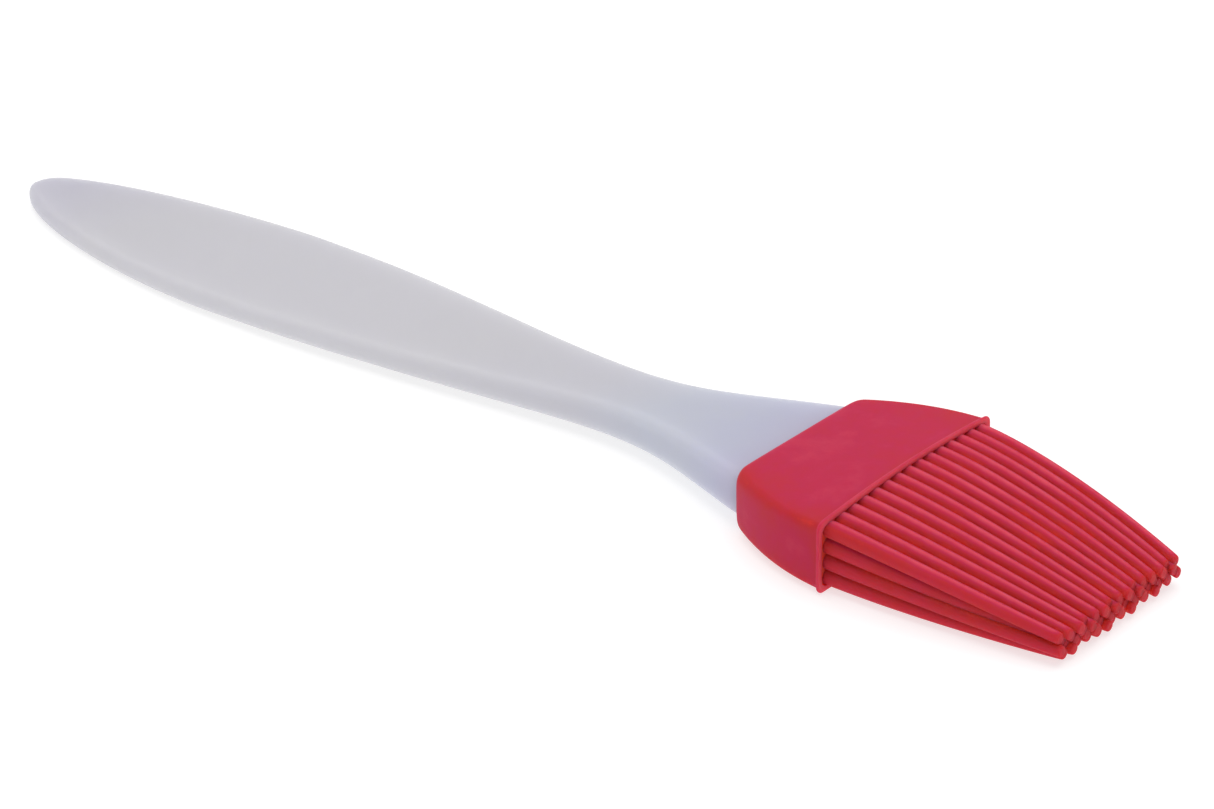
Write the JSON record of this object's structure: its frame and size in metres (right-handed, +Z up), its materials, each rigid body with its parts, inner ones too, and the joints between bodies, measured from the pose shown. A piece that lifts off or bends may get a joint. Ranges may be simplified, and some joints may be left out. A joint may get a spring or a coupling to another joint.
{
  "type": "pastry brush",
  "caption": "Flat tapered plastic handle with a pull-off soft silicone head: a barrel-sided collar with a thin lip and staggered rows of tapered bristles.",
  "frame": {"origin": "on the surface the brush lies on, under the middle of its bounding box", "axes": "+X along the brush towards the bristle tips, +Y across it, +Z up from the surface it lies on"},
  "size_m": [0.204, 0.0346, 0.0104],
  "materials": {
    "handle_plastic": "frosted translucent polypropylene, satin",
    "silicone": "satin moulded silicone"
  },
  "bodies": {
    "handle": {"handle": "handle_plastic"},
    "head": {"collar": "silicone"},
    "bristle_row_1": {"bristle_1_01": "silicone", "bristle_1_02": "silicone", "bristle_1_03": "silicone", "bristle_1_04": "silicone", "bristle_1_05": "silicone", "bristle_1_06": "silicone", "bristle_1_07": "silicone", "bristle_1_08": "silicone", "bristle_1_09": "silicone", "bristle_1_10": "silicone", "bristle_1_11": "silicone", "bristle_1_12": "silicone", "bristle_1_13": "silicone", "bristle_1_14": "silicone", "bristle_1_15": "silicone"},
    "bristle_row_2": {"bristle_2_01": "silicone", "bristle_2_02": "silicone", "bristle_2_03": "silicone", "bristle_2_04": "silicone", "bristle_2_05": "silicone", "bristle_2_06": "silicone", "bristle_2_07": "silicone", "bristle_2_08": "silicone", "bristle_2_09": "silicone", "bristle_2_10": "silicone", "bristle_2_11": "silicone", "bristle_2_12": "silicone", "bristle_2_13": "silicone", "bristle_2_14": "silicone"},
    "bristle_row_3": {"bristle_3_01": "silicone", "bristle_3_02": "silicone", "bristle_3_03": "silicone", "bristle_3_04": "silicone", "bristle_3_05": "silicone", "bristle_3_06": "silicone", "bristle_3_07": "silicone", "bristle_3_08": "silicone", "bristle_3_09": "silicone", "bristle_3_10": "silicone", "bristle_3_11": "silicone", "bristle_3_12": "silicone", "bristle_3_13": "silicone", "bristle_3_14": "silicone", "bristle_3_15": "silicone"},
    "bristle_row_4": {"bristle_4_01": "silicone", "bristle_4_02": "silicone", "bristle_4_03": "silicone", "bristle_4_04": "silicone", "bristle_4_05": "silicone", "bristle_4_06": "silicone", "bristle_4_07": "silicone", "bristle_4_08": "silicone", "bristle_4_09": "silicone", "bristle_4_10": "silicone", "bristle_4_11": "silicone", "bristle_4_12": "silicone", "bristle_4_13": "silicone", "bristle_4_14": "silicone"}
  },
  "joints": [
    {"name": "head_pull_off", "type": "slide", "parent": "handle", "child": "head", "axis": [1, 0, 0], "range_m": [0, 0.03]},
    {"name": "row_1_bend", "type": "hinge", "parent": "head", "child": "bristle_row_1", "pos_m": [0.07175, 0, 0.00824], "axis": [0, 1, 0], "range_deg": [-20, 20], "stiffness_Nm_per_rad": 0.01},
    {"name": "row_2_bend", "type": "hinge", "parent": "head", "child": "bristle_row_2", "pos_m": [0.07175, 0, 0.00592], "axis": [0, 1, 0], "range_deg": [-20, 20], "stiffness_Nm_per_rad": 0.01},
    {"name": "row_3_bend", "type": "hinge", "parent": "head", "child": "bristle_row_3", "pos_m": [0.07175, 0, 0.00373], "axis": [0, 1, 0], "range_deg": [-20, 20], "stiffness_Nm_per_rad": 0.01},
    {"name": "row_4_bend", "type": "hinge", "parent": "head", "child": "bristle_row_4", "pos_m": [0.07175, 0, 0.00168], "axis": [0, 1, 0], "range_deg": [-20, 20], "stiffness_Nm_per_rad": 0.01}
  ],
  "couplings": [
    {"joint": "row_2_bend", "follows": "row_1_bend", "ratio": 1},
    {"joint": "row_3_bend", "follows": "row_1_bend", "ratio": 1},
    {"joint": "row_4_bend", "follows": "row_1_bend", "ratio": 1}
  ]
}
